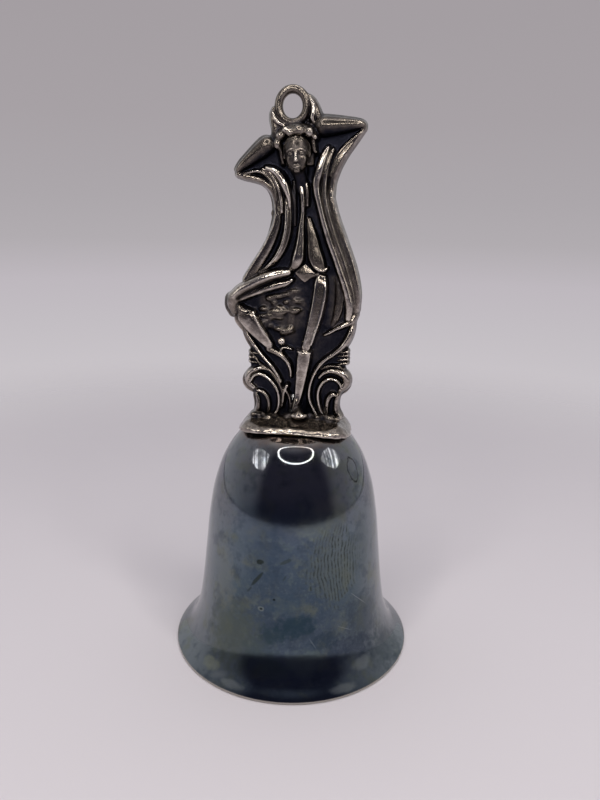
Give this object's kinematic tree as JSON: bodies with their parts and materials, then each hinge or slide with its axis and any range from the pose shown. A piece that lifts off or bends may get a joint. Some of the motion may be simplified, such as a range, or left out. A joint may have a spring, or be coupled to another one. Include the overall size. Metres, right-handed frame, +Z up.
{
  "type": "hand bell",
  "caption": "Small silver-plated hand bell with a cast standing figure as its handle, a ring on top and a clapper that swings inside.",
  "frame": {"origin": "centre of the bell's mouth, on the plane that the rim rests on", "axes": "+Z up along the bell's axis to the ring on top, -Y is the side the figure faces, +X is to the viewer's right"},
  "size_m": [0.05, 0.05, 0.1107],
  "materials": {
    "antique_casting": "antique silver plate, bright on the high spots and near black in the recesses",
    "tarnished_silver": "silver plate on brass, tarnished blue-grey, semi-gloss, worn bright at the rim",
    "brass": "plain turned brass, dulled",
    "steel": "plated steel wire, dulled"
  },
  "bodies": {
    "bell": {"handle_figure": "antique_casting", "foot_plate": "antique_casting", "bell_shell": "tarnished_silver", "crown_washer": "brass", "inner_washer": "brass", "lock_nut": "brass", "eye_stud": "steel"},
    "link": {"clapper_link": "steel"},
    "clapper": {"clapper_shank": "steel", "clapper_ball": "brass"}
  },
  "joints": [
    {"name": "link_swing", "type": "hinge", "parent": "bell", "child": "link", "pos_m": [0, 0, 0.0395], "axis": [0, 1, 0], "range_deg": [-25, 25]},
    {"name": "clapper_swing", "type": "hinge", "parent": "link", "child": "clapper", "pos_m": [0, 0, 0.0363], "axis": [1, 0, 0], "range_deg": [-8, 8]}
  ]
}
